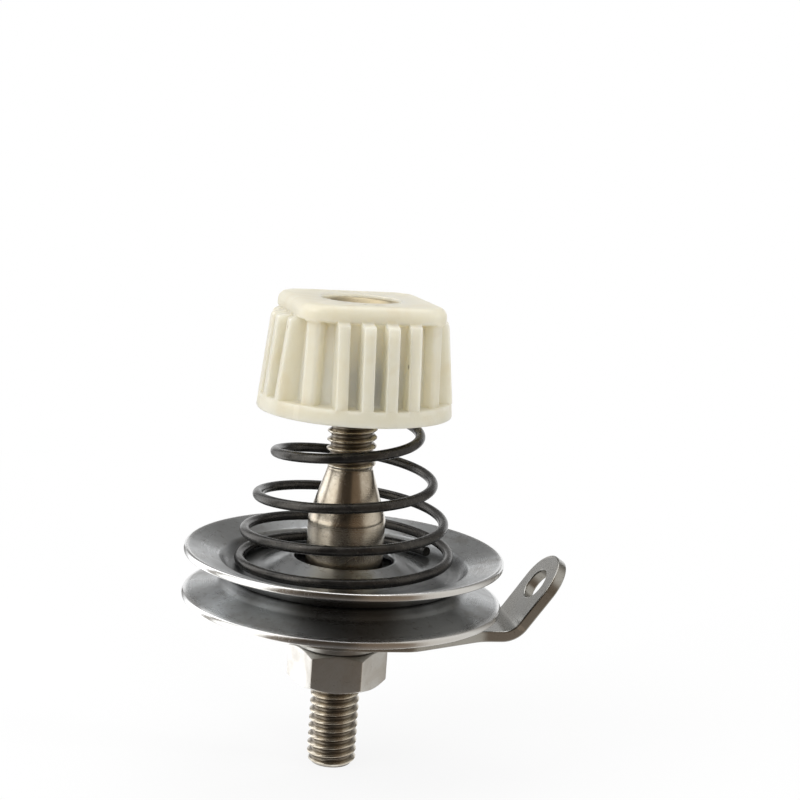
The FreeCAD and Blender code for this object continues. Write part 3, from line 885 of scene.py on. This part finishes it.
def disc_finish():
    """Satin pressed saucer: fine rings, a stained flange, painted shade on its flat, a bright
    rolled rim.
    """
    finish, tree, shader = new_finish(
        "satin_saucer_nickel", Metallic=1.0, Anisotropic=0.75, Anisotropic_Rotation=0.25)
    radius, _ = radius_and_height(tree)
    film = use_group(tree, "Cloudy film", Scale=240.0, Sharpness=0.15)
    speck = use_group(tree, "Cloudy film", "Speck", Scale=150.0, Sharpness=0.2)
    mark = use_group(tree, "Turning marks", Rings_per_metre=7000.0, Waver=0.5)
    line = use_group(tree, "Fine scratches", Scale=420.0, Amount=0.35)
    place = own_place(tree)
    patch = noise(tree, place, 170.0, 5.0, Roughness=0.7)
    on_flange = spread(tree, radius, 9.6 * MM, 10.4 * MM)
    stain = product(tree, spread(tree, patch, 0.52, 0.62), on_flange)
    rim = spread(tree, radius, 12.3 * MM, 12.62 * MM, smooth=True)
    # painted shade: the flat between boss and step is darkened nearly to black, where the spring's
    # foot coil and the other disc shade it
    flat_painted_shade = product(
        tree, spread(tree, radius, 5.9 * MM, 7.6 * MM, smooth=True),
        spread(tree, radius, 10.1 * MM, 9.7 * MM, smooth=True),
        spread(tree, patch, 0.3, 0.55, 1.0, 0.72))
    tint = blend_colour(tree, film, (0.485, 0.5, 0.51), (0.36, 0.365, 0.365))
    tint = layered(
        tree, tint,
        (speck, 0.5, (0.16, 0.145, 0.125)), (stain, 0.4, (0.2, 0.18, 0.155)),
        (flat_painted_shade, 0.9, (0.07, 0.072, 0.073)), (rim, 0.85, (0.86, 0.86, 0.86)))
    rough = wavered(tree, spread(tree, film, 0.0, 1.0, 0.25, 0.38), mark, 0.2)
    rough = calc(tree, "MULTIPLY_ADD", rim, -0.14, rough)
    rough = calc(tree, "MULTIPLY_ADD", line, 0.2, rough, clamp=True)
    dents = noise(tree, place, 900.0, 2.0)
    marks = calc(tree, "MULTIPLY_ADD", line, -0.3, mark)
    coat(tree, shader, tint, rough, calc(tree, "MULTIPLY_ADD", dents, 1.2, marks), 0.008 * MM)
    return finish


def spring_finish():
    """Drawn spring wire, oil-blackened, rubbed paler where it has been handled."""
    finish, tree, shader = new_finish("oil_black_wire", Metallic=0.85)
    film = use_group(tree, "Cloudy film", Scale=520.0, Sharpness=0.3)
    speck = use_group(tree, "Cloudy film", "Speck", Scale=420.0, Sharpness=0.3)
    line = use_group(tree, "Fine scratches", Scale=1100.0, Amount=0.6)
    tint = blend_colour(tree, film, (0.035, 0.034, 0.033), (0.07, 0.066, 0.061))
    tint = layered(tree, tint, (speck, 0.5, (0.17, 0.15, 0.13)), (line, 0.5, (0.24, 0.23, 0.22)))
    rough = spread(tree, film, 0.0, 1.0, 0.2, 0.32)
    grain = noise(tree, own_place(tree), 5200.0, 3.0)
    coat(tree, shader, tint, rough, grain, 0.012 * MM)
    return finish


def ivory_finish():
    """Moulded ivory plastic: mottled, dark specks, dust in corners, painted light in the rib
    recesses, soft sheen.
    """
    finish, tree, shader = new_finish(
        "ivory_moulding", Metallic=0.0, IOR=1.5, Subsurface_Weight=0.9,
        Subsurface_Scale=3.4 * MM, Subsurface_Radius=(1.0, 0.94, 0.8))
    place = own_place(tree)
    film = use_group(tree, "Cloudy film", Scale=140.0, Sharpness=0.05)
    wear = use_group(tree, "Edge wear", Threshold=0.54)
    cells = wire(tree, "ShaderNodeTexVoronoi", {
        "Vector": place, "Scale": 420.0, "Randomness": 1.0})
    chance = noise(tree, place, 210.0, 1.0)
    dot = product(tree, spread(tree, cells, 0.05, 0.1, 1.0, 0.0), spread(tree, chance, 0.56, 0.6))
    raised = wire(tree, "ShaderNodeNewGeometry", output="Pointiness")
    dust = spread(tree, raised, 0.475, 0.43)
    tint = blend_colour(tree, film, (0.665, 0.63, 0.52), (0.62, 0.578, 0.455))
    age = noise(tree, place, 230.0, 4.0, Distortion=1.2)
    tint = blend_colour(tree, spread(tree, age, 0.5, 0.72, 0.0, 0.7), tint, (0.60, 0.53, 0.39))
    tint = blend_colour(tree, spread(tree, age, 0.36, 0.28, 0.0, 0.5), tint, (0.56, 0.55, 0.46))
    # painted light: the deeper a point lies between the ribs, the paler and rougher it is made, to
    # lift the shade there
    painted_light_between_ribs = wire(
        tree, "ShaderNodeAttribute", output="Fac", attribute_name="Depth between ribs")
    tint = layered(
        tree, tint,
        (painted_light_between_ribs, 0.85, (0.84, 0.80, 0.665)), (dust, 0.2, (0.45, 0.395, 0.29)),
        (wear, 0.25, (0.78, 0.73, 0.61)), (dot, 0.75, (0.13, 0.10, 0.07)))
    rough = spread(tree, film, 0.0, 1.0, 0.3, 0.44)
    rough = calc(tree, "MULTIPLY_ADD", painted_light_between_ribs, 0.3, rough)
    grain = noise(tree, place, 2600.0, 4.0, Roughness=0.6)
    flow = noise(tree, place, 330.0, 1.0)
    coat(tree, shader, tint, rough, calc(tree, "MULTIPLY_ADD", flow, 2.5, grain), 0.016 * MM)
    return finish


# ---- studio

def seen_directly(tree):
    """1 for what the eye and reflections see, 0 for the soft light that lands on dull surfaces."""
    path = tree.nodes.new("ShaderNodeLightPath")
    seen = calc(tree, "MAXIMUM", path.outputs["Is Camera Ray"], path.outputs["Is Glossy Ray"])
    return calc(tree, "MAXIMUM", seen, path.outputs["Is Transmission Ray"])


def studio():
    """A white light tent over a pale floor, with three soft lamps."""
    world = bpy.data.worlds.new("Light tent")
    bpy.context.scene.world = world
    world.use_nodes = True
    tree = world.node_tree
    backdrop = built_in(tree, "BACKGROUND")
    backdrop.inputs["Color"].default_value = (1, 1, 1, 1)
    strength = spread(tree, seen_directly(tree), 0.0, 1.0, 0.84, 1.0)
    tree.links.new(strength, backdrop.inputs["Strength"])

    far = 3000
    corners = [(x * far, y * far, STUD_FOOT) for x, y in ((-1, -1), (1, -1), (1, 1), (-1, 1))]
    floor = finished("floor", corners, [(0, 1, 2, 3)], floor_finish())

    for name, place, aim, size, power in (
        ("Key softbox", (-320, -110, 310), (0, 0, 14), 240, 0.72),
        ("Top softbox", (70, 150, 430), (0, 0, 10), 260, 0.35),
        ("Side softbox", (330, -120, 160), (0, 0, 10), 160, 0.15),
    ):
        lamp = bpy.data.lights.new(name, "AREA")
        lamp.shape, lamp.size, lamp.energy = "SQUARE", size * MM, power
        holder = placed(name, lamp)
        holder.location = [MM * c for c in place]
        away = Vector(place) - Vector(aim)
        holder.rotation_euler = away.to_track_quat("Z", "Y").to_euler()


def floor_finish():
    """Pale floor: white to the eye and in reflections, with the object's own soft shadow kept."""
    finish, tree, shader = new_finish(
        "pale_floor", Roughness=0.9, Base_Color=(0.82, 0.82, 0.82, 1))
    glow = wire(tree, "ShaderNodeEmission", {"Color": (1, 1, 1, 1), "Strength": 1.0})
    away = how_far(tree, own_place(tree))
    paler = spread(tree, away, 30 * MM, 120 * MM, 0.86, 1.0, smooth=True)
    share = product(tree, seen_directly(tree), paler)
    mixed = wire(tree, "ShaderNodeMixShader", [share, shader.outputs[0], glow])
    tree.links.new(mixed, built_in(tree, "OUTPUT_MATERIAL").inputs["Surface"])
    return finish


def reflection_cards():
    """Painted reflections for polished metal: glowing cards, dark ahead, paler at each side, grey
    above and behind.

    Each card is a band about the stud's axis. Its shades are given by bearing from its middle.
    """
    for name, middle, profile, shades in (
        ("front_card", VIEWER_BEARING, ((3, -6.75), (300, -6.75), (300, 210), (130, 420)), (
            (-155, (0.10, 0.09, 0.08)), (-142, (0.6, 0.6, 0.6)), (-128, (1.9, 1.9, 1.9)),
            (-106, (1.9, 1.9, 1.9)), (-99, (0.42, 0.4, 0.37)), (-92, (0.38, 0.35, 0.31)),
            (-86, (1.5, 1.5, 1.46)), (-52, (1.5, 1.47, 1.4)), (-42, (0.20, 0.16, 0.12)),
            (-22, (0.055, 0.042, 0.032)), (8, (0.05, 0.04, 0.03)), (20, (0.16, 0.12, 0.085)),
            (48, (0.22, 0.17, 0.125)), (60, (0.62, 0.58, 0.52)), (100, (0.72, 0.70, 0.66)),
            (122, (0.35, 0.33, 0.3)), (140, (0.10, 0.09, 0.08)))),
        ("ceiling_card", VIEWER_BEARING + math.pi, ((560, 170), (520, 420), (300, 640)), (
            (-90, (0.75, 0.75, 0.75)), (-55, (0.42, 0.42, 0.42)), (0, (0.24, 0.235, 0.225)),
            (55, (0.42, 0.42, 0.42)), (90, (0.8, 0.8, 0.8)))),
    ):
        first, last = shades[0][0], shades[-1][0]
        points, faces, steps, side = [], [], 48, len(profile)
        for n in range(steps + 1):
            bearing = middle + math.radians(first + (last - first) * n / steps)
            points += [polar(r, bearing, z) for r, z in profile]
        for n in range(steps):
            for k in range(n * side, n * side + side - 1):
                faces.append((k, k + 1, k + side + 1, k + side))
        card = finished(name, points, faces, reflection_card_finish(name, middle, shades))
        # painted reflections: these glowing cards are hidden from the camera, from soft light and
        # from shadows, and show only in reflections
        card.visible_camera = card.visible_diffuse = card.visible_shadow = False
        card.visible_transmission = card.visible_volume_scatter = False


def reflection_card_finish(name, middle, shades):
    """A glowing card for painted reflections: its shade changes with bearing, broken up by noise.
    """
    finish, tree, shader = new_finish(
        name, Roughness=1.0, Emission_Strength=1.0, Base_Color=(0, 0, 0, 1),
        Specular_IOR_Level=0.0)
    place = own_place(tree)
    turned_place = wire(tree, "ShaderNodeMapping", {"Vector": place, "Rotation": (0, 0, -middle)})
    x, y, _ = split(tree, turned_place)
    shade_break_up = noise(tree, place, 9.0, 3.0)
    bearing = wavered(tree, calc(tree, "ARCTAN2", y, x), shade_break_up, 0.35)
    first, last = shades[0][0], shades[-1][0]
    share = spread(tree, bearing, math.radians(first), math.radians(last))
    ramp = tree.nodes.new("ShaderNodeValToRGB")
    tree.links.new(share, ramp.inputs[0])
    stops = ramp.color_ramp.elements
    while len(stops) < len(shades):
        stops.new(0.5)
    for stop, (at, shade) in zip(stops, shades):
        stop.position, stop.color = (at - first) / (last - first), (*shade, 1)
    # painted reflection: the card turns paler close to the object
    near = spread(tree, how_far(tree, place), 15 * MM, 70 * MM, 0.1, 0.0)
    paler = blend_colour(tree, near, ramp.outputs[0], (1, 1, 1))
    tree.links.new(paler, shader.inputs["Emission Color"])
    return finish


def place_camera():
    """A long lens at the front, looking a little down and rolled a few degrees."""
    camera = bpy.data.cameras.new("Camera")
    camera.lens, camera.sensor_width = 77.35, 36.0
    camera.clip_start, camera.clip_end = 0.005, 20.0
    holder = placed("Camera", camera)
    right, up = Vector((0.97872, -0.19262, 0.07073)), Vector((-0.03598, 0.17824, 0.98333))
    axes = Matrix((right, up, right.cross(up))).transposed()
    stand = Matrix.Translation([MM * c for c in (-23.92, -131.62, 46.14)])
    holder.matrix_world = stand @ axes.to_4x4()
    bpy.context.scene.camera = holder


# ---- assembly

place_camera()
for make_group in (
        thread_cutter, wire_coiler, turning_marks, cloudy_film, edge_wear, fine_scratches):
    make_group()

stud_finish = plated(
    "warm_stud_nickel", (0.72, 0.67, 0.58), (0.44, 0.37, 0.28), (0.82, 0.78, 0.68),
    roughness=0.11, film_roughness=0.25, rings=16000.0, ring_depth=0.005 * MM,
    scratch=0.3, darkening=thread_root_darkening, wave=0.03 * MM)
nut_finish = plated(
    "nut_chrome", (0.75, 0.745, 0.725), (0.59, 0.56, 0.515), (0.84, 0.83, 0.81),
    roughness=0.3, film_roughness=0.44, rings=5000.0, ring_depth=0.004 * MM,
    film_scale=420.0, wave=0.02 * MM)
washer_finish = plated(
    "washer_zinc", (0.42, 0.42, 0.41), (0.3, 0.29, 0.27), (0.56, 0.56, 0.55),
    roughness=0.3, film_roughness=0.45, rings=9000.0, ring_depth=0.006 * MM)
guide_finish = plated(
    "guide_chrome", (0.46, 0.46, 0.445), (0.36, 0.345, 0.315), (0.66, 0.64, 0.6),
    roughness=0.17, film_roughness=0.27, rings=1500.0, ring_depth=0.002 * MM,
    film_scale=260.0, ring_roughness=0.03)
brass_finish = plated(
    "insert_brass", (0.62, 0.54, 0.37), (0.47, 0.385, 0.25), (0.7, 0.62, 0.44),
    roughness=0.35, film_roughness=0.5, rings=12000.0, ring_depth=0.006 * MM, darkening=bore_painted_shade)
saucer = disc_finish()

pieces = (
    (make_stud(stud_finish), "stud", "stud_nickel", "tension_stud"),
    (make_nut(nut_finish), "nut", "nut_chrome", "lock_nut"),
    (make_washer(washer_finish), "washer", "washer_steel", "lock_washer"),
    (make_guide(guide_finish), "guide", "guide_chrome", "thread_guide"),
    (make_disc("lower_saucer", -1, saucer), "lower_disc", "disc_nickel", "lower_tension_disc"),
    (make_disc("upper_saucer", 1, saucer), "upper_disc", "disc_nickel", "upper_tension_disc"),
    (make_spring(spring_finish()), "upper_disc", "spring_steel", "tension_spring"),
    (make_knob(ivory_finish()), "thumb_nut", "ivory_plastic", "thumb_nut_shell"),
    (make_insert(brass_finish), "thumb_nut", "insert_brass", "thumb_nut_insert"),
)
for piece, body, slot, node in pieces:
    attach(piece, body)
    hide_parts(node)
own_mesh(bpy.data.objects["conical_spring"])

studio()
reflection_cards()
bpy.context.scene.view_settings.view_transform = "Standard"
